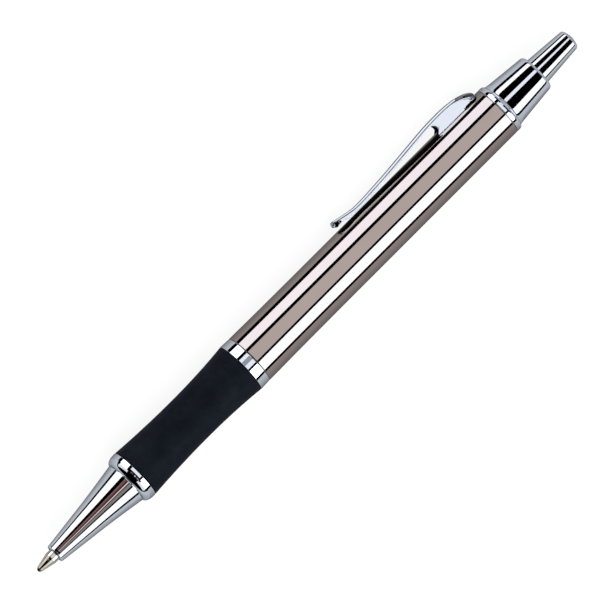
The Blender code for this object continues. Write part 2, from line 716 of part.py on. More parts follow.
def clip_half_width(x, inset=0.0):
    share = (x - CLIP_TIP_X) / (CLIP_PIVOT_X - CLIP_TIP_X)
    width = CLIP_TIP_WIDTH + (CLIP_ROOT_WIDTH - CLIP_TIP_WIDTH) * share
    corner = CLIP_TIP_WIDTH / 2
    from_end = x - CLIP_TIP_X
    rounding = 0.0
    if from_end < corner:
        rounding = 0.55 * corner * (1 - math.sqrt(1 - (1 - from_end / corner) ** 2))
    return width / 2 - rounding - inset


def extruded_outline(outline, half_width):
    """A solid with this (x, z) outline, whose half width is a function of x."""
    bm = bmesh.new()
    face = bm.faces.new([bm.verts.new((x, 0, z)) for x, z in outline])
    made = bmesh.ops.extrude_face_region(bm, geom=[face])
    far = {item for item in made["geom"] if isinstance(item, bmesh.types.BMVert)}
    for vert in bm.verts:
        side = 1 if vert in far else -1
        vert.co.y = side * half_width(vert.co.x)
    return bm


def tangent_round_end(top_start, bottom_start):
    """The rolled lip at the clip's free end, drawn from the top line round to the underside."""
    centre_x = CLIP_TIP_X + CLIP_TIP_LIP_RADIUS
    return arc(centre_x, CLIP_TIP_LIP_Z, CLIP_TIP_LIP_RADIUS, top_start, bottom_start, 6)


def make_clip(parent):
    top = clip_top_line()
    blade = [p for p in top if p[0] < CLIP_WALL_START_X]
    crest = [p for p in top if p[0] >= CLIP_WALL_START_X]
    wall_bottom = BARREL_RADIUS / 2
    wall_end_x = CLIP_BEND_CENTRE[0] + CLIP_BEND_RADII[0]
    underside = [(x, z - clip_edge_depth(x)) for x, z in blade][::-1]
    outline = (
        tangent_round_end(70, 270)[::-1]
        + blade
        + crest
        + [(wall_end_x, wall_bottom), (CLIP_WALL_START_X, wall_bottom)]
        + underside
    )
    clip = make_object("clip", extruded_outline(outline, clip_half_width))

    inner_top = [(x, z - CLIP_SHEET) for x, z in top if x < CLIP_BEND_CENTRE[0]]
    inner_top += [
        (CLIP_BEND_CENTRE[0] + (CLIP_BEND_RADII[0] - CLIP_SHEET) * math.cos(a),
         CLIP_BEND_CENTRE[1] + (CLIP_BEND_RADII[1] - CLIP_SHEET) * math.sin(a))
        for a in (math.radians(d) for d in range(90, -1, -15))
    ]
    inner_bottom = BARREL_RADIUS / 3
    inner = inner_top + [(inner_top[-1][0], inner_bottom), (inner_top[0][0], inner_bottom)]
    cut(clip, extruded_outline(inner, lambda x: clip_half_width(x, CLIP_SHEET)))

    notch = turned_mesh([(-CLIP_ROOT_WIDTH, 0), (-CLIP_ROOT_WIDTH, CLIP_NOTCH_RADIUS),
                         (CLIP_ROOT_WIDTH, CLIP_NOTCH_RADIUS), (CLIP_ROOT_WIDTH, 0)], INNER_SIDES, False)
    for vert in notch.verts:
        vert.co = (CLIP_WALL_START_X + vert.co.y, vert.co.x, CLIP_NOTCH_Z + vert.co.z)
    cut(clip, notch)

    clear_radius = BARREL_RADIUS + AXIAL_GAP
    clearance = turned_mesh([(CLIP_TIP_X - CUT_MARGIN, 0), (CLIP_TIP_X - CUT_MARGIN, clear_radius),
                             (BARREL_END_X + CUT_MARGIN, clear_radius), (BARREL_END_X + CUT_MARGIN, 0)],
                            OUTER_SIDES, False)
    cut(clip, clearance)

    half = CLIP_TONGUE_WIDTH / 2
    sheet_x = wall_end_x - CLIP_SHEET
    foot_top = CLIP_FOOT_BOTTOM_Z + CLIP_FOOT_HEIGHT
    tongue_outline = [
        (wall_end_x, CLIP_FOOT_BOTTOM_Z),
        (wall_end_x, CLIP_BEND_CENTRE[1] + CLIP_SHEET / 2),
        (sheet_x + 0.01e-3, CLIP_BEND_CENTRE[1] + CLIP_SHEET / 2),
        (sheet_x + 0.01e-3, foot_top),
        (wall_end_x - CLIP_FOOT_LENGTH, foot_top),
        (wall_end_x - CLIP_FOOT_LENGTH, CLIP_FOOT_BOTTOM_Z),
    ]
    join(clip, extruded_outline(tongue_outline, lambda x: half))

    pivot = Vector((CLIP_PIVOT_X, 0, CLIP_PIVOT_Z))
    for vert in clip.data.vertices:
        vert.co -= pivot
    clip.location = pivot
    return finish(clip, "chrome", parent)


# ---- Assembly ----------------------------------------------------------------------------------------


def build():
    clear_scene()
    middle_y = (CLIP_REACH - CENTRE_RING_RADIUS) / 2
    pen_axis = make_empty(
        "pen_axis",
        location=(PEN_LENGTH / 2, middle_y, CENTRE_RING_RADIUS),
        rotation=(-(math.pi / 2 + CLIP_DIP), 0, math.pi),
    )
    front_section = make_empty("front_section_axis", pen_axis)
    refill = make_empty("refill_axis", pen_axis)
    plunger = make_empty("plunger_axis", pen_axis)

    for make in (make_nose_cone, make_front_collar, make_grip_sleeve, make_lower_barrel, make_centre_ring):
        make(front_section)
    for make in (make_upper_barrel, make_threaded_insert, make_top_ring, make_upper_cone,
                 make_mechanism_housing, make_clip, make_return_spring):
        make(pen_axis)
    for make in (make_refill_tip, make_tip_ball, make_refill_tube, make_ink_column,
                 make_refill_end_plug, make_cam_rotor):
        make(refill)
    for make in (make_push_button, make_cam_plunger):
        make(plunger)


build()
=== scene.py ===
"""Looks of the retractable ballpoint pen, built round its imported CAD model.

Pieces are drawn in the pen's own frame: x runs along the axis from the writing ball (x = 0) to the push
button, and z points from the axis towards the clip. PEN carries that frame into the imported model's. All
sizes are in metres.
"""

import json
import math

import bmesh
import bpy
from mathutils import Matrix, Vector


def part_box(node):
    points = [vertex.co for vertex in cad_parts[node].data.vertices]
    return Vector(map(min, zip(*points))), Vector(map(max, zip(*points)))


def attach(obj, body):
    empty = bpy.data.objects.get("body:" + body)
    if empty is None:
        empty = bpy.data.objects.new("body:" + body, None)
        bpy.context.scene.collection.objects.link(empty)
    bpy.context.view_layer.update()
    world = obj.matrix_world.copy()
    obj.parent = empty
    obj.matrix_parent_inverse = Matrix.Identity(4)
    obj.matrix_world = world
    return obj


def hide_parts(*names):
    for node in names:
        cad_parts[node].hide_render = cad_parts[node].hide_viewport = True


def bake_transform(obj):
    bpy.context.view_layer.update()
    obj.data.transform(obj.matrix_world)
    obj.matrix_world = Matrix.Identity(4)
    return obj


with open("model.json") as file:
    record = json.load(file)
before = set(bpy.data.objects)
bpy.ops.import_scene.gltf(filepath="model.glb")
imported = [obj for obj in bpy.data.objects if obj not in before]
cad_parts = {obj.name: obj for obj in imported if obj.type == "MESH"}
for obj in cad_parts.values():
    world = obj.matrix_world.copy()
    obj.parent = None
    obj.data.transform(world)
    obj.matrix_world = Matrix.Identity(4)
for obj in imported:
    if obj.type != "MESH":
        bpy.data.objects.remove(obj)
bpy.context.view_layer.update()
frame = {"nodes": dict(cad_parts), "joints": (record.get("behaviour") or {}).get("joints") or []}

# ---- The pen's frame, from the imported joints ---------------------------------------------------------

JOINTS = {joint["name"]: joint for joint in frame["joints"]}
AXIS_POINT = JOINTS["section_turn"]["pos_m"]
TIP_END = Vector((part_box("tip_ball")[1].x, AXIS_POINT[1], AXIS_POINT[2]))
TO_BUTTON = Vector((-1, 0, 0))
ACROSS = Vector(JOINTS["clip_flex"]["axis"]).normalized()
TO_CLIP = TO_BUTTON.cross(ACROSS)
PEN = Matrix.Translation(TIP_END) @ Matrix((TO_BUTTON, ACROSS, TO_CLIP)).transposed().to_4x4()

SIDES = 144  # facets round a turned piece
FILLET_STEPS = 4


def span(node):
    """Where a CAD node starts and ends along the pen's axis."""
    low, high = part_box(node)
    return TIP_END.x - high.x, TIP_END.x - low.x


# ---- Mesh helpers ------------------------------------------------------------------------------------


def add_object(name, mesh):
    obj = bpy.data.objects.new(name, mesh)
    bpy.context.scene.collection.objects.link(obj)
    return obj


def solid(name, verts, faces, sharp_degrees=32, slots=None, folds=None):
    """A closed piece from points in the pen's frame, smooth but for its sharp edges."""
    mesh = bpy.data.meshes.new(name)
    mesh.from_pydata(verts, [], faces)
    if slots:
        mesh.polygons.foreach_set("material_index", slots)
    # a per-point mask; the clip uses it for its painted dark reflection line
    if folds:
        mesh.attributes.new("painted_fold_line", "FLOAT", "POINT").data.foreach_set("value", folds)
    bm = bmesh.new()
    bm.from_mesh(mesh)
    bmesh.ops.remove_doubles(bm, verts=bm.verts, dist=2e-7)
    bmesh.ops.dissolve_degenerate(bm, edges=bm.edges, dist=1e-8)
    bmesh.ops.recalc_face_normals(bm, faces=bm.faces)
    bm.to_mesh(mesh)
    bm.free()
    mesh.transform(PEN)
    mesh.shade_smooth()
    mesh.set_sharp_from_angle(angle=math.radians(sharp_degrees))
    return add_object(name, mesh)


def filleted(points, closed=True):
    """An (x, radius) outline with its corners rounded. A point may carry its own fillet as a third value;
    each round gets a short lead-in on both sides, so that it doesn't bend the light on the long faces."""
    corners = [(Vector(p[:2]), p[2] if len(p) > 2 else 0.0) for p in points]
    line = []
    for i, (corner, fillet) in enumerate(corners):
        at_end = not closed and i in (0, len(corners) - 1)
        if fillet == 0.0 or at_end:
            line.append(tuple(corner))
            continue
        before = (corners[i - 1][0] - corner).normalized()
        after = (corners[(i + 1) % len(corners)][0] - corner).normalized()
        start, end = corner + before * fillet, corner + after * fillet
        line.append(tuple(start + before * fillet * 0.5))
        for k in range(FILLET_STEPS + 1):
            t = k / FILLET_STEPS
            line.append(tuple(start * (1 - t) ** 2 + corner * 2 * t * (1 - t) + end * t**2))
        line.append(tuple(end + after * fillet * 0.5))
    return line


def turned(name, outline, sides=SIDES, closed=True):
    """Spin an (x, radius) outline round the pen's axis. An open one starts and ends on the axis."""
    count = len(outline)
    verts, faces = [], []
    for i in range(sides):
        turn = 2 * math.pi * i / sides
        verts += [(x, r * math.sin(turn), r * math.cos(turn)) for x, r in outline]
    for i in range(sides):
        here, there = i * count, (i + 1) % sides * count
        for k in range(count if closed else count - 1):
            after = (k + 1) % count
            faces.append((here + k, here + after, there + after, there + k))
    return solid(name, verts, faces)


def curve_through(points, steps):
    """A Catmull-Rom curve through the points, with the given number of steps between each two."""
    ends = [2 * Vector(points[0]) - Vector(points[1])], [2 * Vector(points[-1]) - Vector(points[-2])]
    knots = ends[0] + [Vector(p) for p in points] + ends[1]
    line = []
    for p0, p1, p2, p3 in zip(knots, knots[1:], knots[2:], knots[3:]):
        for i in range(steps):
            t = i / steps
            point = 2 * p1 + (p2 - p0) * t + (2 * p0 - 5 * p1 + 4 * p2 - p3) * t**2
            line.append(tuple(0.5 * (point + (3 * p1 - p0 - 3 * p2 + p3) * t**3)))
    return line + [tuple(knots[-2])]


def put(obj, body, slot, node, *materials):
    """Give a new piece its materials and the body it rides on, and hide the CAD node it stands for."""
    for material in materials:
        obj.data.materials.append(material)
    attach(obj, body)
    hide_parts(node)


# ---- Material helpers --------------------------------------------------------------------------------


class Finish:
    """A Principled material with helpers for the noise that breaks up its colour, gloss and surface."""

    def __init__(self, name, colour, metallic, roughness, **sockets):
        self.material = bpy.data.materials.new(name)
        self.material.use_nodes = True
        self.tree = self.material.node_tree
        self.shader = self.tree.nodes["Principled BSDF"]
        self.shader.inputs["Base Color"].default_value = (*colour, 1.0)
        self.shader.inputs["Metallic"].default_value = metallic
        self.shader.inputs["Roughness"].default_value = roughness
        for socket, value in sockets.items():
            self.shader.inputs[socket.replace("_", " ")].default_value = value
        self.place = self.node("ShaderNodeTexCoord").outputs["Object"]
        self.normal = None

    def node(self, kind, **settings):
        made = self.tree.nodes.new(kind)
        for key, value in settings.items():
            setattr(made, key, value)
        return made

    def link(self, source, target):
        self.tree.links.new(source, target)

    def noise(self, size, detail=3.0, stretch=(1, 1, 1), roughness=0.5):
        """Noise whose grains are about size metres across, times stretch along each axis."""
        mapping = self.node("ShaderNodeMapping")
        mapping.inputs["Scale"].default_value = [1 / (size * s) for s in stretch]
        texture = self.node("ShaderNodeTexNoise")
        texture.inputs["Scale"].default_value = 1.0
        texture.inputs["Detail"].default_value = detail
        texture.inputs["Roughness"].default_value = roughness
        self.link(self.place, mapping.inputs["Vector"])
        self.link(mapping.outputs["Vector"], texture.inputs["Vector"])
        return texture.outputs["Fac"]

    def spread(self, source, low, high, to_low=0.0, to_high=1.0):
        """Map a value from low..high to to_low..to_high, clamped."""
        ranged = self.node("ShaderNodeMapRange")
        for socket, value in zip(("From Min", "From Max", "To Min", "To Max"), (low, high, to_low, to_high)):
            ranged.inputs[socket].default_value = value
        self.link(source, ranged.inputs["Value"])
        return ranged.outputs["Result"]

    def sum(self, first, second):
        added = self.node("ShaderNodeMath", operation="ADD")
        self.link(first, added.inputs[0])
        self.link(second, added.inputs[1])
        return added.outputs["Value"]

    def colours(self, factor, first, second):
        """Blend the base colour from first to second by a 0..1 factor."""
        mix = self.node("ShaderNodeMix", data_type="RGBA")
        mix.inputs["A"].default_value = (*first, 1.0)
        mix.inputs["B"].default_value = (*second, 1.0)
        self.link(factor, mix.inputs["Factor"])
        self.link(mix.outputs["Result"], self.shader.inputs["Base Color"])

    def darken(self, factor, colour):
        """Blend whatever sets the base colour towards a darker one."""
        before = self.shader.inputs["Base Color"].links[0].from_socket
        mix = self.node("ShaderNodeMix", data_type="RGBA")
        mix.inputs["B"].default_value = (*colour, 1.0)
        self.link(factor, mix.inputs["Factor"])
        self.link(before, mix.inputs["A"])
        self.link(mix.outputs["Result"], self.shader.inputs["Base Color"])

    def gloss(self, source):
        self.link(source, self.shader.inputs["Roughness"])

    def bump(self, height, depth):
        """Raise the surface by height times depth metres, on top of any earlier bump."""
        bump = self.node("ShaderNodeBump")
        bump.inputs["Strength"].default_value = 1.0
        bump.inputs["Distance"].default_value = depth
        self.link(height, bump.inputs["Height"])
        if self.normal is not None:
            self.link(self.normal, bump.inputs["Normal"])
        self.normal = bump.outputs["Normal"]
        self.link(self.normal, self.shader.inputs["Normal"])


RING_LINES = (0.3, 40, 40)  # noise drawn out across the axis: lines that run round a turned piece


def chrome(name, waviness):
    """Bright chrome plate: faint waves from the polished metal below, fine turning lines, light handling
    haze, and a little more wear on its edges."""
    finish = Finish(name, (0.80, 0.82, 0.85), 1.0, 0.04)
    haze = finish.spread(finish.noise(6e-3, 4.0), 0.35, 0.75)
    finish.colours(haze, (0.80, 0.82, 0.845), (0.755, 0.775, 0.80))
    edge = finish.node("ShaderNodeNewGeometry").outputs["Pointiness"]
    wear = finish.spread(edge, 0.52, 0.60, 0.0, 0.06)
    smudges = finish.spread(finish.noise(2.2e-3, 5.0), 0.40, 0.80, 0.012, 0.04)
    finish.gloss(finish.sum(smudges, wear))
    finish.bump(finish.noise(3e-3, 1.0), waviness)
    finish.bump(finish.noise(0.5e-3, 1.0, RING_LINES), 0.015e-6)
    return finish


def chrome_with_painted_fold_line(name, waviness):
    """Chrome on pressed sheet, with a painted reflection along the folds: a thin dark line where their tight
    corners would mirror something dark.
    """
    finish = chrome(name, waviness)
    painted_fold_line = finish.node("ShaderNodeAttribute", attribute_name="painted_fold_line").outputs["Fac"]
    uneven = finish.spread(finish.noise(0.8e-3, 3.0), 0.25, 0.60, 0.75, 1.0)
    line = finish.node("ShaderNodeMath", operation="MULTIPLY")
    finish.link(painted_fold_line, line.inputs[0])
    finish.link(uneven, line.inputs[1])
    # painted reflection: the base colour goes dark along the middle of each fold's corner, drawing a thin
    # dark line
    finish.darken(line.outputs["Value"], (0.10, 0.10, 0.115))
    return finish


def barrel_lacquer():
    """Mirror-bright grey-brown metal with a faint long grain, haze and a few hairlines."""
    finish = Finish("barrel_lacquer", (0.43, 0.35, 0.295), 1.0, 0.04)
    cloud = finish.spread(finish.noise(9e-3, 4.0, (2.5, 1, 1)), 0.30, 0.75)
    finish.colours(cloud, (0.445, 0.36, 0.31), (0.405, 0.325, 0.28))
    haze = finish.spread(finish.noise(3e-3, 5.0), 0.40, 0.80, 0.012, 0.035)
    hairlines = finish.spread(finish.noise(0.12e-3, 2.0, (40, 1, 1)), 0.70, 0.74, 0.0, 0.05)
    finish.gloss(finish.sum(haze, hairlines))
    finish.bump(finish.noise(3e-3, 1.0, (3, 1, 1)), 2.0e-6)
    return finish.material


def rubber():
    """Matt blue-black rubber with a moulded grain, paler where hands have rubbed it."""
    finish = Finish("grip_rubber", (0.0028, 0.0048, 0.0088), 0.0, 0.62, Specular_IOR_Level=0.10)
    rubbed = finish.spread(finish.noise(5e-3, 5.0, roughness=0.6), 0.40, 0.75)
    finish.colours(rubbed, (0.0018, 0.0036, 0.0072), (0.0048, 0.0074, 0.0125))
    finish.gloss(finish.spread(finish.noise(1.5e-3, 4.0), 0.30, 0.75, 0.52, 0.72))
    finish.bump(finish.noise(0.22e-3, 3.0), 12e-6)
    finish.bump(finish.noise(0.06e-3, 2.0), 3e-6)
    return finish.material


def metal(name, bright, dull, gloss, lines=0.05e-6, spots=3e-3):
    """A turned or drawn metal that isn't plated: two tones, turning lines and uneven gloss."""
    finish = Finish(name, bright, 1.0, sum(gloss) / 2)
    finish.colours(finish.spread(finish.noise(spots, 5.0), 0.35, 0.70), bright, dull)
    finish.gloss(finish.spread(finish.noise(spots / 2, 4.0), 0.30, 0.75, *gloss))
    finish.bump(finish.noise(0.4e-3, 3.0, RING_LINES), lines)
    return finish.material


def plastic(name, light, dark, gloss):
    """Moulded acetal: a slight mottle, a fine moulded texture and a soft gloss."""
    finish = Finish(name, light, 0.0, sum(gloss) / 2, Specular_IOR_Level=0.45)
    finish.colours(finish.spread(finish.noise(4e-3, 4.0), 0.30, 0.75), light, dark)
    finish.gloss(finish.spread(finish.noise(1e-3, 3.0), 0.30, 0.75, *gloss))
    finish.bump(finish.noise(0.15e-3, 2.0), 2e-6)
    return finish.material


def ink():
    """Thick black ink with a slow sheen."""
    finish = Finish("ink_paste", (0.010, 0.012, 0.030), 0.0, 0.25, Coat_Weight=0.3)
    tone = finish.spread(finish.noise(2e-3, 3.0), 0.3, 0.7)
    finish.colours(tone, (0.008, 0.010, 0.028), (0.015, 0.017, 0.040))
    finish.gloss(finish.spread(finish.noise(1e-3, 3.0), 0.3, 0.7, 0.18, 0.32))
    finish.bump(finish.noise(0.8e-3, 2.0), 4e-6)
    return finish.material


CHROME = chrome("turned_chrome", 2.0e-6).material
CLIP_CHROME = chrome_with_painted_fold_line("clip_chrome", 2.5e-6).material
# The clip's inner faces: their dark colour is painted shade for the inside of the folded sheet; the duller
# gloss stands for duller plate there.
CLIP_INSIDE_SHADE = metal("clip_inside_painted_shade", (0.070, 0.070, 0.075), (0.040, 0.040, 0.044), (0.30, 0.45), 0.1e-6)
LACQUER = barrel_lacquer()
RUBBER = rubber()
NICKEL = metal("nickel_silver", (0.72, 0.66, 0.55), (0.64, 0.58, 0.47), (0.10, 0.15), 0.08e-6, 1.2e-3)
CARBIDE = metal("inked_carbide", (0.12, 0.12, 0.13), (0.03, 0.03, 0.035), (0.12, 0.25), 0.0, 0.4e-3)
BRASS = metal("turned_brass", (0.74, 0.57, 0.29), (0.62, 0.46, 0.22), (0.18, 0.32), 0.25e-6)
STEEL = metal("satin_steel", (0.62, 0.63, 0.64), (0.50, 0.51, 0.52), (0.22, 0.34), 0.2e-6)
SPRING_WIRE = metal("spring_wire", (0.60, 0.61, 0.63), (0.44, 0.45, 0.47), (0.18, 0.30), 0.08e-6, 1e-3)
WHITE_PLASTIC = plastic("white_acetal", (0.78, 0.78, 0.76), (0.70, 0.70, 0.67), (0.34, 0.46))
GREY_PLASTIC = plastic("grey_acetal", (0.22, 0.23, 0.25), (0.17, 0.18, 0.20), (0.34, 0.48))
INK = ink()

for node, material in (
    ("threaded_insert", BRASS),
    ("refill_tube", STEEL),
    ("ink_column", INK),
    ("refill_end_plug", GREY_PLASTIC),
    ("cam_plunger", GREY_PLASTIC),
    ("cam_rotor", WHITE_PLASTIC),
    ("mechanism_housing", WHITE_PLASTIC),
):
    frame["nodes"][node].data.materials.clear()
    frame["nodes"][node].data.materials.append(material)


# ---- Front section -----------------------------------------------------------------------------------

NOSE_TENON_RADIUS = 3.6e-3
LOWER_BARREL_RADIUS = 4.05e-3
RUNNING_GAP = 0.08e-3


def make_nose_cone():
    """The cone, a little hollow along its length, with its bored mouth, spring seat and tenon."""
    mouth_x, tenon_end = span("nose_cone")
    end_x = span("front_collar")[0] - 0.1e-3
    lip_radius, end_radius = 1.9e-3, 4.34e-3
    cone = curve_through(
        [(mouth_x + 0.62e-3, 1.945e-3), (8.0e-3, 2.31e-3), (11.6e-3, 2.755e-3), (15.3e-3, 3.205e-3),
         (19.0e-3, 3.735e-3), (end_x - 0.12e-3, end_radius - 0.018e-3)], 8)
    outline = filleted([
        (mouth_x, 1.36e-3),
        (mouth_x, lip_radius - 0.01e-3, 0.30e-3),
        (mouth_x + 0.55e-3, lip_radius + 0.038e-3),
    ], closed=False)[:-1]
    outline += cone
    outline += filleted([
        (end_x - 0.11e-3, end_radius - 0.016e-3),
        (end_x, end_radius, 0.04e-3),
        (end_x, NOSE_TENON_RADIUS),
        (tenon_end, NOSE_TENON_RADIUS, 0.1e-3),
        (tenon_end, 3.12e-3, 0.1e-3),
        (22.0e-3, 3.12e-3),
        (22.0e-3, 2.5e-3),
        (14.7e-3, 2.5e-3),
        (14.7e-3, 1.8e-3),
        (6.4e-3, 1.8e-3),
        (6.4e-3, 1.36e-3),
    ], closed=False)
    put(turned("nose_cone_shell", outline), "front_section", "chrome", "nose_cone", CHROME)


def make_front_collar():
    """The bead: a quarter round that meets the grip at its widest."""
    start, end = span("front_collar")
    end -= 0.26e-3
    bore, front_radius, radius = NOSE_TENON_RADIUS + RUNNING_GAP, 4.34e-3, 5.28e-3
    reach = (end - start) * 0.8
    steps = 28
    outline = [(start, bore), (start, front_radius - 0.05e-3)]
    for i in range(steps + 1):
        turn = math.pi / 2 * i / steps
        rise = (radius - front_radius) * math.sin(turn)
        outline.append((start + reach * (1 - math.cos(turn)), front_radius + rise))
    outline += filleted([(start + reach * 1.05, radius), (end, radius, 0.05e-3), (end, bore)], closed=False)
    put(turned("front_collar_bead", outline), "front_section", "chrome", "front_collar", CHROME)


def make_grip_sleeve():
    """The sleeve's waist, with soft moulded edges at both ends."""
    start, end = span("grip_sleeve")
    start, end = start - 0.21e-3, end + 0.06e-3
    waist_x, waist, front, rear = 39.4e-3, 4.74e-3, 5.26e-3, 5.37e-3
    bore = LOWER_BARREL_RADIUS + RUNNING_GAP
    steps = 48
    outline = []
    for i in range(steps + 1):
        x = start + 0.2e-3 + (end - start - 0.6e-3) * i / steps
        if x < waist_x:
            radius = waist + (front - waist) * ((waist_x - x) / (waist_x - start)) ** 1.9
        else:
            radius = waist + (rear - waist) * ((x - waist_x) / (end - waist_x)) ** 2.2
        outline.append((x, radius))
    first, last = outline[0], outline[-1]
    outline = (
        filleted([(start, bore), (start, front - 0.01e-3, 0.12e-3), first], closed=False)[:-1]
        + outline
        + filleted([last, (end, rear - 0.005e-3, 0.2e-3), (end, bore)], closed=False)[1:]
    )
    put(turned("grip_sleeve_skin", outline), "front_section", "grip_rubber", "grip_sleeve", RUBBER)


def make_centre_ring():
    start, end = span("centre_ring")
    end -= 0.14e-3
    front_radius, rear_radius, bore = 5.40e-3, 5.295e-3, LOWER_BARREL_RADIUS + RUNNING_GAP
    outline = filleted([
        (start, bore),
        (start, front_radius, 0.08e-3),
        (end, rear_radius, 0.08e-3),
        (end, bore),
    ])
    put(turned("centre_ring_band", outline), "front_section", "chrome", "centre_ring", CHROME)


def make_lower_barrel():
    """The brass tube under the grip, with a cut thread on the length past the centre ring."""
    start, end = span("lower_barrel")
    thread_start = span("centre_ring")[1] + 0.3e-3
    pitch, crest, root, bore = 0.75e-3, LOWER_BARREL_RADIUS, 3.83e-3, 3.69e-3
    chamfer = 0.5e-3
    sides, steps_per_pitch = 96, 10
    count = round((end - thread_start) / pitch * steps_per_pitch)
    stations = [thread_start + (end - thread_start) * i / count for i in range(count + 1)]
    verts, faces = [], []
    for i in range(sides):
        share = i / sides
        turn = 2 * math.pi * share
        ring = [(start, bore), (start, crest)]
        for x in stations:
            wave = abs(2 * ((x / pitch - share) % 1.0) - 1)  # 0 at the root, 1 at the crest
            rise = min(1.0, max(0.0, (wave - 0.15) / 0.6))
            fade = min(1.0, (x - thread_start) / pitch)
            radius = crest - (crest - root) * (1 - rise) * fade
            ring.append((x, min(radius, crest - max(0.0, x - end + chamfer) * 0.4)))
        ring.append((end, bore))
        verts += [(x, r * math.cos(turn), r * math.sin(turn)) for x, r in ring]
        size = len(ring)
    for i in range(sides):
        here, there = i * size, (i + 1) % sides * size
        for k in range(size):
            after = (k + 1) % size
            faces.append((here + k, here + after, there + after, there + k))
    tube = solid("lower_barrel_tube", verts, faces, sharp_degrees=50)
    put(tube, "front_section", "brass", "lower_barrel", BRASS)


# ---- Upper section -----------------------------------------------------------------------------------

BARREL_RADIUS = 5.205e-3
SHEET = 0.45e-3
TONGUE_WIDTH = 2.6e-3
SLOT_GAP = 0.15e-3


def cut_box(obj, low, high):
    """Cut a box, given in the pen's frame, out of a piece."""
    helper_mesh = bpy.data.meshes.new("cutter")
    bm = bmesh.new()
    bmesh.ops.create_cube(bm, size=1.0)
    bmesh.ops.scale(bm, verts=bm.verts, vec=Vector(high) - Vector(low))
    bmesh.ops.translate(bm, verts=bm.verts, vec=(Vector(high) + Vector(low)) / 2)
    bm.to_mesh(helper_mesh)
    bm.free()
    helper_mesh.transform(PEN)
    helper = add_object("cutter", helper_mesh)
    modifier = obj.modifiers.new("Slot", "BOOLEAN")
    modifier.operation = "DIFFERENCE"
    modifier.solver = "EXACT"
    modifier.object = helper
    graph = bpy.context.evaluated_depsgraph_get()
    obj.data = bpy.data.meshes.new_from_object(obj.evaluated_get(graph))
    obj.modifiers.clear()
    bpy.data.objects.remove(helper)


def make_upper_barrel():
    start, end = span("upper_barrel")
    start -= 0.17e-3
    front_radius, taper_end, bore = 5.315e-3, 74.0e-3, 4.73e-3
    slot_end = span("clip")[1] + SLOT_GAP
    slot_start = slot_end - SHEET - 2 * SLOT_GAP
    taper = curve_through(
        [(start + 0.2e-3, front_radius - 0.001e-3), (start + 5e-3, 5.27e-3),
         ((start + taper_end) / 2, 5.235e-3), (taper_end, BARREL_RADIUS)], 6)
    outline = filleted([(start, bore), (start, front_radius, 0.12e-3), taper[0]], closed=False)[:-1]
    outline += taper
    outline += [(slot_start - 1e-3, BARREL_RADIUS), (slot_end + 0.3e-3, BARREL_RADIUS)]
    outline += filleted([
        (end - 0.4e-3, BARREL_RADIUS),
        (end, BARREL_RADIUS, 0.12e-3),
        (end, bore),
    ], closed=False)
    outline += [(slot_end + 0.3e-3, bore), (slot_start - 1e-3, bore)]
    barrel = turned("upper_barrel_tube", outline)
    half = TONGUE_WIDTH / 2 + SLOT_GAP
    cut_box(barrel, (slot_start, -half, BARREL_RADIUS / 2), (slot_end, half, BARREL_RADIUS * 2))
    put(barrel, "upper_section", "barrel_metal", "upper_barrel", LACQUER)


def make_top_ring():
    start, end = span("top_ring")
    radius, bore, drop, round_start = 5.21e-3, 4.72e-3, 0.30e-3, 121.05e-3
    arc, steps = math.radians(80), 12
    outline = filleted([(start, bore), (start, radius, 0.08e-3), (round_start, radius)], closed=False)
    for i in range(1, steps + 1):
        turn = arc * i / steps
        x = round_start + (end - round_start) * math.sin(turn) / math.sin(arc)
        outline.append((x, radius - drop * (1 - math.cos(turn)) / (1 - math.cos(arc))))
    outline.append((end, bore))
    put(turned("top_ring_band", outline), "upper_section", "chrome", "top_ring", CHROME)


def make_upper_cone():
    """The cone, its rolled rim round the button, and the skirt that plugs the barrel."""
    skirt_x, end = span("upper_cone")
    shoulder_x = span("top_ring")[1] + 0.1e-3
    skirt_radius, skirt_bore, rim = 4.64e-3, 4.0e-3, 0.62e-3
    shoulder_radius, end_radius, flare, flare_length = 4.71e-3, 3.81e-3, 0.11e-3, 0.28e-3
    notch_end = span("clip")[1] + 3 * SLOT_GAP
    outline = filleted([
        (skirt_x, skirt_bore),
        (skirt_x, skirt_radius, 0.1e-3),
        (notch_end + 0.3e-3, skirt_radius),
    ], closed=False)
    outline.append((shoulder_x, skirt_radius))
    for i in range(21):
        x = 1.6e-3 * (i / 20) ** 1.5
        slope = (end_radius - shoulder_radius) / (end - shoulder_x)
        outline.append((shoulder_x + x, shoulder_radius + slope * x + flare * math.exp(-x / flare_length)))
    outline += filleted([
        outline[-1],
        (end, end_radius, rim),
        (end, 2.88e-3, 0.1e-3),
        (end - 0.75e-3, 2.88e-3),
        (end - 0.75e-3, 3.42e-3),
        (122.3e-3, 3.42e-3),
        (122.3e-3, skirt_bore),
        (notch_end + 0.3e-3, skirt_bore),
        (skirt_x + 0.3e-3, skirt_bore),
    ], closed=False)[1:]
    cone = turned("upper_cone_shell", outline)
    half = TONGUE_WIDTH / 2 + 2 * SLOT_GAP
    cut_box(cone, (skirt_x - 1e-3, -half, skirt_bore / 2), (notch_end, half, skirt_radius * 1.3))
    put(cone, "upper_section", "chrome", "upper_cone", CHROME)


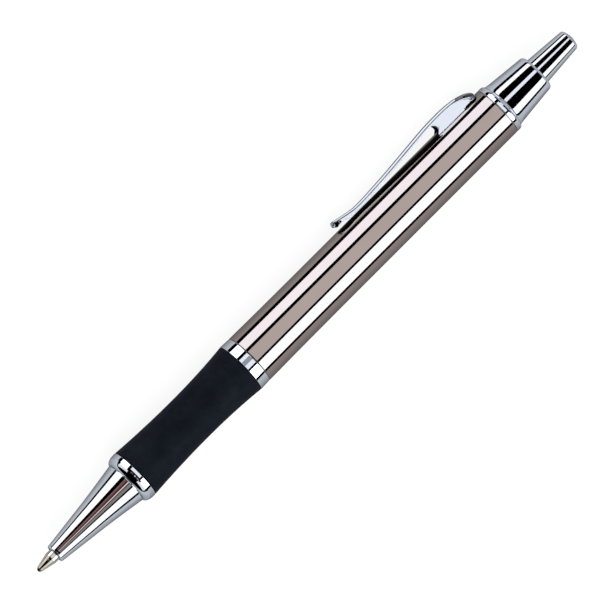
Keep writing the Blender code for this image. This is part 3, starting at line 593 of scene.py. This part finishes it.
def make_push_button():
    start, end = span("push_button")
    bore, bore_end = 1.95e-3, 137.2e-3
    mouth_x = span("upper_cone")[1]
    outline = filleted([
        (bore_end, 0.0),
        (bore_end, bore),
        (start, bore),
        (start, 3.3e-3, 0.08e-3),
        (start + 1.1e-3, 3.3e-3, 0.08e-3),
        (start + 1.1e-3, 2.775e-3),
        (mouth_x, 2.775e-3),
        (mouth_x + 0.1e-3, 2.767e-3),
        (end - 1.3e-3, 2.17e-3),
    ], closed=False)
    outline += curve_through(
        [(end - 1.0e-3, 2.147e-3), (end - 0.74e-3, 2.095e-3), (end - 0.50e-3, 1.93e-3),
         (end - 0.33e-3, 1.60e-3), (end - 0.20e-3, 1.15e-3), (end - 0.07e-3, 0.6e-3)], 4)
    outline.append((end, 0.0))
    button = turned("push_button_cap", outline, closed=False)
    put(button, "plunger", "chrome", "push_button", CHROME)


# ---- Clip --------------------------------------------------------------------------------------------

CLIP_TIP_X = 83.4e-3
LIP_RADIUS = 0.62e-3
LIP_Z = 6.54e-3
BEND_CENTRE = (112.0e-3, 5.6e-3)
BEND_RADII = (7.35e-3, 2.0e-3)
ROOT_X = 119.1e-3  # where the sides reach their full width
WALL_X = 109.05e-3
NOTCH_RADIUS = 1.1e-3
NOTCH_CENTRE = (108.85e-3, 5.90e-3)
WALL_FLOOR_Z = 4.68e-3
WALL_RELIEF = (115.8e-3, 0.42e-3)  # where the walls' lower edge steps up towards the bend, and by how much
ROOT_CORNER = 1.43e-3  # how far the sides are rounded into the end bend
CLEAR_RADIUS = 5.26e-3
TOP_LINE = (
    (86.9e-3, 6.53e-3), (89.7e-3, 6.21e-3), (96.2e-3, 6.5e-3), (103.7e-3, 7.12e-3), (108.6e-3, 7.52e-3),
)
EDGE_DEPTHS = (  # how far the folded edges reach down from the top line
    (84.0e-3, 1.15e-3), (86.0e-3, 0.95e-3), (88.4e-3, 0.72e-3), (93.0e-3, 0.60e-3), (110.0e-3, 0.5e-3),
)


def clip_half_width(x):
    tip_width, root_width = 3.8e-3, 4.8e-3
    width = tip_width + (root_width - tip_width) * (x - CLIP_TIP_X) / (ROOT_X - CLIP_TIP_X)
    corner = tip_width / 2
    from_end = max(0.0, x - CLIP_TIP_X)
    rounding = 0.0
    if from_end < corner:
        rounding = 0.55 * corner * (1 - math.sqrt(1 - (1 - from_end / corner) ** 2))
    return width / 2 - rounding


def edge_depth(x):
    for (x0, d0), (x1, d1) in zip(EDGE_DEPTHS, EDGE_DEPTHS[1:]):
        if x <= x1:
            share = max(0.0, (x - x0) / (x1 - x0))
            return d0 + (d1 - d0) * share * share * (3 - 2 * share)
    return EDGE_DEPTHS[-1][1]


def resampled(line, count):
    """The same polyline with count points evenly spaced along it."""
    line = [Vector(p) for p in line]
    lengths = [0.0]
    for a, b in zip(line, line[1:]):
        lengths.append(lengths[-1] + (b - a).length)
    made, k = [], 0
    for i in range(count):
        want = lengths[-1] * i / (count - 1)
        while k < len(line) - 2 and lengths[k + 1] < want:
            k += 1
        step = lengths[k + 1] - lengths[k]
        made.append(line[k].lerp(line[k + 1], (want - lengths[k]) / step if step else 0.0))
    return made


def clip_lines():
    """The clip seen from its side: matching points of its top line and of its edges' lower line, with the
    thickness of its sheet there, from the lip to where it meets the barrel."""
    quarter = [
        (BEND_CENTRE[0] + BEND_RADII[0] * math.cos(a), BEND_CENTRE[1] + BEND_RADII[1] * math.sin(a))
        for a in (math.pi / 2 * (1 - i / 24) for i in range(25))
    ]
    lip_centre = CLIP_TIP_X + LIP_RADIUS
    lip_top = [(lip_centre - LIP_RADIUS * math.cos(a), LIP_Z + LIP_RADIUS * math.sin(a))
               for a in (math.radians(d) for d in (4, 12, 24, 38, 54, 72, 92))]
    blade = curve_through([lip_top[-1], *TOP_LINE, quarter[0]], 10)
    blade = blade[1:-1]
    front = [p for p in blade if p[0] < WALL_X - 0.2e-3]
    rear = [p for p in blade if p[0] >= WALL_X - 0.2e-3] + quarter
    rear.append((quarter[-1][0], 5.0e-3))

    top = [Vector(p) for p in lip_top + front]
    low = [Vector((x, 2 * LIP_Z - z)) for x, z in lip_top]
    for x, z in front:
        ease = min(1.0, max(0.0, (x - lip_centre) / 2.5e-3))
        low.append(Vector((x, z - edge_depth(x) * ease - 2 * (z - LIP_Z) * (1 - ease))))

    notch = [(NOTCH_CENTRE[0] + NOTCH_RADIUS * math.sin(a), NOTCH_CENTRE[1] + NOTCH_RADIUS * math.cos(a))
             for a in (math.radians(d) for d in range(16, 172, 6))]
    under = [(front[-1][0], low[-1].y)] + notch
    step_x, rise = WALL_RELIEF
    under += [(notch[-1][0] + 0.15e-3, WALL_FLOOR_Z), (step_x, WALL_FLOOR_Z),
              (step_x + 0.12e-3, WALL_FLOOR_Z + rise), (quarter[-1][0] - ROOT_CORNER, WALL_FLOOR_Z + rise)]
    count = 60
    top += resampled([front[-1]] + rear, count)[1:]
    low += resampled(under, count)[1:]
    return top, low


def clip_corner(x):
    """Radius of the bend between the clip's top and its sides: tight on the blade, wide at the root."""
    blade_corner, widening_x = 0.28e-3, 114.5e-3
    share = min(1.0, max(0.0, (x - widening_x) / (ROOT_X - widening_x)))
    return blade_corner + (ROOT_CORNER - blade_corner) * share * share


# the clip's painted dark reflection line runs along these points
FOLD_POINTS = (14, 15, 16)  # of a half section: the middle of its corner


def make_clip():
    """A pressed spring clip: a crowned sheet with folded edges, deep walls at its root, and a foot."""
    top, low = clip_lines()
    loops = []
    for i, (t, b) in enumerate(zip(top, low)):
        tangent = (top[min(i + 1, len(top) - 1)] - top[max(i - 1, 0)]).normalized()
        loops.append(clip_section(t, b, Vector((tangent.y, -tangent.x)), clip_half_width(min(t.x, ROOT_X))))
    size = len(loops[0][0])
    inside = loops[0][1]
    verts = [v for loop, _ in loops for v in loop]
    # mask for the painted dark reflection line: 1 at the middle of each corner, 0 elsewhere
    painted_fold_line = [1.0 if k in FOLD_POINTS or inside - 1 - k in FOLD_POINTS else 0.0 for k in range(size)]
    folds = painted_fold_line * len(loops)
    faces = [tuple(range(size))[::-1], tuple((len(loops) - 1) * size + k for k in range(size))]
    slots = [0, 1]
    for i in range(len(loops) - 1):
        for k in range(size):
            after = (k + 1) % size
            faces.append((i * size + k, i * size + after, (i + 1) * size + after, (i + 1) * size + k))
            # inner faces take the second material, which paints them dark as shade
            slots.append(1 if inside <= k < size - 1 else 0)
    clip = solid("clip_spring", verts, faces, sharp_degrees=50, slots=slots, folds=folds)
    add_foot(clip)
    put(clip, "clip", "clip_chrome", "clip", CLIP_CHROME, CLIP_INSIDE_SHADE)


def half_section(top, low, inward, half, corner, rim, drop):
    """One side of a folded section, from its lower edge up round the corner to the middle of the sheet."""
    turn_start = top + inward * corner
    up = turn_start - low
    rim = min(rim, up.length * 0.4)
    rise = up.normalized() * rim if up.length > 1e-9 else up
    points = []
    for k in range(5):
        a = math.pi / 2 * k / 4
        points.append((low + rise * (1 - math.cos(a)), half - rim * (1 - math.sin(a))))
    for k in range(1, 8):
        points.append((low + rise + (turn_start - low - rise) * (k / 8), half))
    for k in range(7):
        a = math.pi / 2 * k / 6
        points.append((top + inward * corner * (1 - math.sin(a)), half - corner * (1 - math.cos(a))))
    flat = half - corner
    crown = [(top + inward * drop * ((flat * k / 7) / half) ** 2, flat * k / 7) for k in range(6, -1, -1)]
    seam = drop * (flat / half) ** 2
    side = [(p + inward * seam * min(1.0, (p - low).length / max(up.length, 1e-9)), y) for p, y in points]
    return side + crown


def clip_section(top, low, inward, half):
    """One closed loop round the clip's folded section, and where its inner side starts."""
    depth = (low - top).length
    corner = min(clip_corner(top.x), depth * 0.75, half * 0.7)
    solid_share = 1 - min(1.0, max(0.0, (top.x - 86.0e-3) / 1.5e-3))
    sheet = min(SHEET, depth * 0.6)
    sheet += (depth * 0.97 - sheet) * solid_share
    inner_corner = min(max(corner - SHEET, 0.1e-3), (depth - sheet) * 0.6)
    outer = half_section(top, low, inward, half, corner, 0.14e-3, 0.10e-3)
    wall = min(SHEET, half * 0.45)
    inner = half_section(top + inward * sheet, low, inward, half - wall, inner_corner, 0.0, 0.0)
    loop = outer + [(p, -y) for p, y in outer[::-1][1:]]
    inside = len(loop)
    loop += [(p, -y) for p, y in inner] + [(p, y) for p, y in inner[::-1][1:]]

    def above_barrel(p, y):
        return p.x, y, max(p.y, math.sqrt(max(0.0, CLEAR_RADIUS**2 - y * y)))

    return [above_barrel(p, y) for p, y in loop], inside


def add_foot(clip):
    """The tongue through the barrel's slot and the foot that hooks under its edge."""
    end = span("clip")[1] - 0.01e-3
    half, foot_length, bottom, height = TONGUE_WIDTH / 2, 1.35e-3, 4.08e-3, 0.3e-3
    outline = [
        (end, bottom), (end, 5.5e-3), (end - SHEET + 0.03e-3, 5.5e-3),
        (end - SHEET + 0.03e-3, bottom + height), (end - foot_length, bottom + height),
        (end - foot_length, bottom),
    ]
    verts = [(x, y, z) for y in (-half, half) for x, z in outline]
    n = len(outline)
    faces = [tuple(range(n)), tuple(range(2 * n - 1, n - 1, -1))]
    faces += [(k, k + n, (k + 1) % n + n, (k + 1) % n) for k in range(n)]
    foot = solid("foot", verts, faces)
    bm = bmesh.new()
    bm.from_mesh(clip.data)
    bm.from_mesh(foot.data)
    bm.to_mesh(clip.data)
    bm.free()
    bpy.data.objects.remove(foot)


# ---- Refill point, ball and spring -------------------------------------------------------------------


def make_refill_tip():
    """The writing point: a cone with a narrow land, a straight part, and the socket round the ball."""
    start, end = span("refill_tip")
    ball_radius, socket = 0.5e-3, 0.53e-3
    socket_line = [(ball_radius + socket * math.cos(math.radians(d)), socket * math.sin(math.radians(d)))
                   for d in range(25, 96, 7)]
    outline = filleted([
        (start, 0.565e-3, 0.02e-3),
        (0.95e-3, 0.70e-3),
        (2.75e-3, 1.10e-3, 0.02e-3),
        (2.80e-3, 1.085e-3, 0.02e-3),
        (3.22e-3, 1.215e-3, 0.03e-3),
        (3.30e-3, 1.225e-3),
        (3.40e-3, 1.225e-3),
        (7.85e-3, 1.225e-3, 0.05e-3),
        (7.9e-3, 0.78e-3),
        (end, 0.78e-3, 0.05e-3),
        (end, 0.2e-3),
    ], closed=False)
    outline += [(socket_line[0][0], 0.2e-3)] + socket_line
    tip = turned("refill_point", outline, sides=96)
    put(tip, "refill", "nickel_silver", "refill_tip", NICKEL)


def make_tip_ball():
    radius = 0.5e-3
    steps = 32
    outline = [(radius - radius * math.cos(math.pi * i / steps), radius * math.sin(math.pi * i / steps))
               for i in range(steps + 1)]
    ball = turned("writing_ball", outline, sides=64, closed=False)
    put(ball, "ball", "ball_carbide", "tip_ball", CARBIDE)


def make_return_spring():
    """Round wire, closed at both ends."""
    start, end = span("return_spring")
    mean_radius, wire, turns = 2.09e-3, 0.19e-3, 8
    steps, round_steps = turns * 40, 10
    first, last = start + wire, end - wire
    verts, faces = [], []
    for i in range(steps + 1):
        share = i / steps
        turn = 2 * math.pi * turns * share
        out = Vector((0, math.cos(turn), math.sin(turn)))
        centre = Vector((first + (last - first) * share, 0, 0)) + out * mean_radius
        for k in range(round_steps):
            a = 2 * math.pi * k / round_steps
            verts.append(tuple(centre + out * wire * math.cos(a) + Vector((wire * math.sin(a), 0, 0))))
    for i in range(steps):
        for k in range(round_steps):
            after = (k + 1) % round_steps
            here, there = i * round_steps, (i + 1) * round_steps
            faces.append((here + k, here + after, there + after, there + k))
    faces.append(tuple(range(round_steps)))
    faces.append(tuple(steps * round_steps + k for k in range(round_steps))[::-1])
    spring = solid("return_spring_wire", verts, faces, sharp_degrees=60)
    spring.data.materials.append(SPRING_WIRE)
    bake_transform(spring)
    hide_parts("return_spring")


for make in (
    make_nose_cone, make_front_collar, make_grip_sleeve, make_centre_ring, make_lower_barrel,
    make_upper_barrel, make_top_ring, make_upper_cone, make_push_button, make_clip,
    make_refill_tip, make_tip_ball, make_return_spring,
):
    make()


# ---- Studio ------------------------------------------------------------------------------------------

MIDDLE = TIP_END + TO_BUTTON * 70.0e-3
CLIP_TO_CAMERA = math.radians(83.5)  # round the pen's axis
CAMERA_TILT = math.radians(8.0)  # towards the writing tip
CAMERA_DISTANCE = 3.5
CAMERA_LENS = 1143.4
CAMERA_OFFSET = (-1.01e-3, 0.62e-3)  # to the right and up: how far the pen's middle is off the picture's
CAMERA_ROLL = math.radians(45.0)  # the pen runs up to the right

FACING = TO_CLIP * math.cos(CLIP_TO_CAMERA) - ACROSS * math.sin(CLIP_TO_CAMERA)
FROM_CLIP = FACING.cross(TO_BUTTON).normalized()
if FROM_CLIP.dot(TO_CLIP) > 0:
    FROM_CLIP = -FROM_CLIP


def make_camera():
    back = FACING * math.cos(CAMERA_TILT) - TO_BUTTON * math.sin(CAMERA_TILT)
    up_pen = (TO_BUTTON - back * TO_BUTTON.dot(back)).normalized()
    aside = back.cross(up_pen)
    right = up_pen * math.cos(CAMERA_ROLL) - aside * math.sin(CAMERA_ROLL)
    up = up_pen * math.sin(CAMERA_ROLL) + aside * math.cos(CAMERA_ROLL)
    data = bpy.data.cameras.new("camera")
    data.lens = CAMERA_LENS
    data.sensor_width = 36.0
    data.clip_start, data.clip_end = 0.05, 20.0
    camera = add_object("camera", data)
    turn = Matrix((right, up, back)).transposed()
    place = MIDDLE + back * CAMERA_DISTANCE + right * CAMERA_OFFSET[0] + up * CAMERA_OFFSET[1]
    camera.matrix_world = Matrix.Translation(place) @ turn.to_4x4()
    bpy.context.scene.camera = camera


def glow_material():
    material = bpy.data.materials.new("panel_glow")
    material.use_nodes = True
    tree = material.node_tree
    tree.nodes.clear()
    attribute = tree.nodes.new("ShaderNodeAttribute")
    attribute.attribute_name = "glow"
    emission = tree.nodes.new("ShaderNodeEmission")
    output = tree.nodes.new("ShaderNodeOutputMaterial")
    tree.links.new(attribute.outputs["Color"], emission.inputs["Color"])
    tree.links.new(emission.outputs["Emission"], output.inputs["Surface"])
    material.cycles.emission_sampling = "NONE"
    return material


TENT_RADIUS = 2.5
KEY = (2.6, 3.1, 3.8)
SOFT = (2.1, 2.35, 2.85)
BRIGHT = (1.32, 1.33, 1.36)
TIP_GLOW = (0.95, 0.96, 0.95)
PALE = (0.98, 1.02, 1.10)
CARD = (0.34, 0.36, 0.40)
WALL = (0.63, 0.66, 0.72)
EDGE = (0.22, 0.24, 0.27)
SIDE = (0.60, 0.615, 0.66)
DIM = (0.04, 0.044, 0.052)
BROWN = (0.28, 0.15, 0.13)
DARK_BROWN = (0.10, 0.035, 0.03)
ROSE = (0.74, 0.64, 0.66)
TAUPE = (0.28, 0.235, 0.22)
DUSK = (0.03, 0.035, 0.045)
HAZE = (0.42, 0.46, 0.53)

PANELS = (  # degrees round the pen from the camera's side, degrees along it, glow at its two long edges
    ("front_far_softbox", (39.5, 79.5), (-15, -3), BRIGHT, BRIGHT),
    ("front_clip_softbox", (-77.5, -37), (-15, -3), BRIGHT, BRIGHT),
    ("tip_far_glow", (30, 84), (-30, -15), TIP_GLOW, TIP_GLOW),
    ("tip_clip_glow", (-84, -30), (-30, -15), TIP_GLOW, TIP_GLOW),
    ("warm_card", (-17.5, -2), (-14, -7), BROWN, DARK_BROWN),
    ("warm_slit", (3, 10), (-14, -7), ROSE, ROSE),
    ("warm_edge", (15, 30), (-14, -7), TAUPE, TAUPE),
    ("front_far_wall", (93, 180), (-80, -3), WALL, EDGE),
    ("front_clip_wall", (-180, -92), (-80, -3), EDGE, WALL),
    ("far_softbox", (34.5, 77.3), (-3, 15.5), KEY, KEY),
    ("clip_softbox", (-80, -39), (-3, 15.5), SOFT, SOFT),
    ("front_fill", (-26, 25), (2.4, 12.2), PALE, PALE),
    ("fill_clip_side", (-26, -12), (12.2, 15.5), PALE, PALE),
    ("fill_card", (-12, 7), (12.2, 15.5), CARD, CARD),
    ("fill_far_side", (7, 25), (12.2, 15.5), PALE, PALE),
    ("far_wall", (89.5, 180), (-3, 15.5), SIDE, DIM),
    ("clip_wall", (-180, -97.5), (-3, 15.5), DIM, SIDE),
    ("rear_far_softbox", (45, 80), (15.5, 36), BRIGHT, BRIGHT),
    ("rear_clip_softbox", (-76.5, -54), (15.5, 36), BRIGHT, BRIGHT),
    ("rear_slit", (-18, -1), (15.5, 36), PALE, PALE),
    ("rear_far_wall", (93.5, 180), (15.5, 80), WALL, EDGE),
    ("rear_clip_wall", (-180, -93.5), (15.5, 80), EDGE, WALL),
    ("rear_wall", (-93, 93), (41, 80), HAZE, HAZE),
)


def make_panel(name, around, along, first, last, material):
    """A curved light panel, seen only in reflections."""
    rows, columns = 24, 12
    verts, glows, faces = [], [], []
    for i in range(rows + 1):
        share = i / rows
        turn = math.radians(around[0] + (around[1] - around[0]) * share)
        out = FACING * math.cos(turn) + FROM_CLIP * math.sin(turn)
        for k in range(columns + 1):
            lean = math.radians(along[0] + (along[1] - along[0]) * k / columns)
            verts.append(MIDDLE + (out + TO_BUTTON * math.tan(lean)) * TENT_RADIUS)
            glows += [a + (b - a) * share for a, b in zip(first, last)] + [1.0]
    for i in range(rows):
        for k in range(columns):
            here = i * (columns + 1) + k
            faces.append((here, here + 1, here + columns + 2, here + columns + 1))
    mesh = bpy.data.meshes.new(name)
    mesh.from_pydata(verts, [], faces)
    mesh.attributes.new("glow", "FLOAT_COLOR", "POINT").data.foreach_set("color", glows)
    mesh.materials.append(material)
    panel = add_object(name, mesh)
    only_in_reflections(panel)


def make_clip_card(material):
    """A low white strip behind the clip, for its top face to mirror at a glancing angle."""
    behind, foot, height = 2.75e-3, 0.45e-3, 1.75e-3
    line = [point for point in clip_lines()[0] if CLIP_TIP_X + 1.2e-3 < point.x < 117e-3]
    verts = [(p.x, behind, p.y + rise) for p in line for rise in (foot, height)]
    faces = [(k, k + 1, k + 3, k + 2) for k in range(0, 2 * len(line) - 2, 2)]
    mesh = bpy.data.meshes.new("clip_card")
    mesh.from_pydata(verts, [], faces)
    mesh.attributes.new("glow", "FLOAT_COLOR", "POINT").data.foreach_set("color", [*PALE, 1.0] * len(verts))
    mesh.materials.append(material)
    mesh.transform(PEN)
    card = add_object("clip_card", mesh)
    only_in_reflections(card)


def only_in_reflections(obj):
    obj.visible_camera = False
    obj.visible_diffuse = False
    obj.visible_shadow = False
    obj.visible_transmission = False
    obj.visible_volume_scatter = False


def make_end_panels(material):
    """Two soft discs that close the tent."""
    for name, way, glow in (("tip_end_panel", -1, DUSK), ("button_end_panel", 1, WALL)):
        sides, radius = 48, TENT_RADIUS * 1.1
        centre = MIDDLE + TO_BUTTON * way * TENT_RADIUS * math.tan(math.radians(79))
        verts = [centre + (FACING * math.cos(a) + FROM_CLIP * math.sin(a)) * radius
                 for a in (2 * math.pi * i / sides for i in range(sides))]
        mesh = bpy.data.meshes.new(name)
        mesh.from_pydata(verts, [], [tuple(range(sides))])
        mesh.attributes.new("glow", "FLOAT_COLOR", "POINT").data.foreach_set("color", [*glow, 1.0] * sides)
        mesh.materials.append(material)
        panel = add_object(name, mesh)
        only_in_reflections(panel)


def make_floor():
    """A wide pale floor, left out of the chrome's reflections so that they show the tent."""
    half = 6.0
    mesh = bpy.data.meshes.new("floor")
    corners = [(-half, -half, 0), (half, -half, 0), (half, half, 0), (-half, half, 0)]
    mesh.from_pydata(corners, [], [(0, 1, 2, 3)])
    finish = Finish("floor_paper", (0.13, 0.13, 0.132), 0.0, 0.9, Specular_IOR_Level=0.1)
    finish.shader.inputs["Emission Color"].default_value = (1.0, 1.0, 1.0, 1.0)
    finish.shader.inputs["Emission Strength"].default_value = 0.885
    tone = finish.spread(finish.noise(0.05, 3.0), 0.3, 0.7)
    finish.colours(tone, (0.134, 0.134, 0.136), (0.126, 0.126, 0.128))
    mesh.materials.append(finish.material)
    floor = add_object("floor", mesh)
    floor.visible_glossy = False


def make_lights():
    world = bpy.data.worlds.new("studio")
    world.use_nodes = True
    background = world.node_tree.nodes["Background"]
    background.inputs["Color"].default_value = (1.0, 1.0, 1.0, 1.0)
    background.inputs["Strength"].default_value = 0.9
    world.cycles_visibility.glossy = False
    bpy.context.scene.world = world
    for name, place, size, power in (
        ("top_softbox", Vector((0.2, 0.3, 1.3)), 1.6, 8.0),
        ("side_softbox", FACING * 1.2 + FROM_CLIP * 0.6 - TO_BUTTON * 0.6, 1.5, 4.0),
    ):
        data = bpy.data.lights.new(name, "AREA")
        data.size = size
        data.energy = power
        light = add_object(name, data)
        light.location = MIDDLE + place
        light.rotation_euler = place.to_track_quat("Z", "Y").to_euler()
        light.visible_glossy = False
        light.visible_camera = False


make_camera()
make_floor()
make_lights()
GLOW = glow_material()
for panel in PANELS:
    make_panel(*panel, GLOW)
make_clip_card(GLOW)
make_end_panels(GLOW)
bpy.context.scene.view_settings.view_transform = "Standard"
